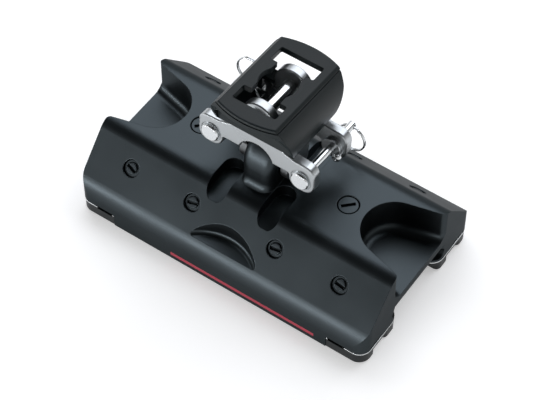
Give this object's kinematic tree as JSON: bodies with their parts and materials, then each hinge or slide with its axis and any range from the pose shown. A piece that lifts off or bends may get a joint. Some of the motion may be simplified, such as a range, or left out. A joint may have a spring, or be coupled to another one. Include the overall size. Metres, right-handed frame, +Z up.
{
  "type": "mainsheet traveller car",
  "caption": "Black ball-bearing mainsheet traveller car with finger scoops and a stainless stand-up toggle that carries a moulded boot and ears with clevis pins.",
  "frame": {"origin": "middle of the car's footprint, on the plane of its feet", "axes": "+X along the track to the right, -Y towards the front slope of the picture, +Z up"},
  "size_m": [0.244, 0.139, 0.1505],
  "materials": {
    "black_anodised": "black anodised, satin",
    "acetal": "plain",
    "black_screw": "anodised, satin",
    "stainless_plate": "rolled sheet",
    "black_plastic": "moulded",
    "stainless_polished": "polished",
    "ball_plastic": "ground",
    "stainless_cast": "satin, investment cast",
    "boot_plastic": "moulded, soft sheen"
  },
  "bodies": {
    "car": {"car_body": "black_anodised", "pivot_bush": "acetal", "plateau_screws": "black_screw", "front_slope_plugs": "black_screw", "rear_slope_plugs": "black_screw", "end_plate_front_left": "stainless_plate", "end_plate_front_right": "stainless_plate", "end_plate_rear_left": "stainless_plate", "end_plate_rear_right": "stainless_plate", "end_cap_front_left": "black_plastic", "end_cap_front_right": "black_plastic", "end_cap_rear_left": "black_plastic", "end_cap_rear_right": "black_plastic", "end_cap_screws": "stainless_polished", "ball_retainer_front": "black_plastic", "ball_retainer_rear": "black_plastic", "retainer_screws": "stainless_polished", "ball_loop_front": "ball_plastic", "ball_loop_rear": "ball_plastic"},
    "toggle": {"toggle_frame": "stainless_cast", "toggle_boot": "boot_plastic", "lock_studs": "stainless_polished", "pivot_pin": "stainless_polished"},
    "cross_pin": {"cross_pin": "stainless_polished", "cross_pin_clip": "stainless_polished"},
    "ear_pin_left": {"ear_pin_left": "stainless_polished"},
    "ear_pin_right": {"ear_pin_right": "stainless_polished"},
    "clip_ring_left": {"clip_ring_left": "stainless_polished"},
    "clip_ring_right": {"clip_ring_right": "stainless_polished"}
  },
  "joints": [
    {"name": "toggle_tilt", "type": "hinge", "parent": "car", "child": "toggle", "pos_m": [0, 0, 0.081], "axis": [1, 0, 0], "range_deg": [-7.5, 49.5]},
    {"name": "cross_pin_turn", "type": "hinge", "parent": "toggle", "child": "cross_pin", "pos_m": [0, 0.00396, 0.13134], "axis": [0, 0.9969, -0.0785], "continuous": true},
    {"name": "ear_pin_left_turn", "type": "hinge", "parent": "toggle", "child": "ear_pin_left", "pos_m": [-0.037, 0.00118, 0.09595], "axis": [0, 0.9969, -0.0785], "continuous": true},
    {"name": "ear_pin_right_turn", "type": "hinge", "parent": "toggle", "child": "ear_pin_right", "pos_m": [0.037, 0.00118, 0.09595], "axis": [0, 0.9969, -0.0785], "continuous": true},
    {"name": "clip_ring_left_swing", "type": "hinge", "parent": "ear_pin_left", "child": "clip_ring_left", "pos_m": [-0.037, 0.03956, 0.09293], "axis": [-0.2419, -0.0761, -0.9673], "range_deg": [-30, 120]},
    {"name": "clip_ring_right_swing", "type": "hinge", "parent": "ear_pin_right", "child": "clip_ring_right", "pos_m": [0.037, 0.03956, 0.09293], "axis": [0.9903, 0.0109, 0.1387], "range_deg": [-30, 120]}
  ]
}
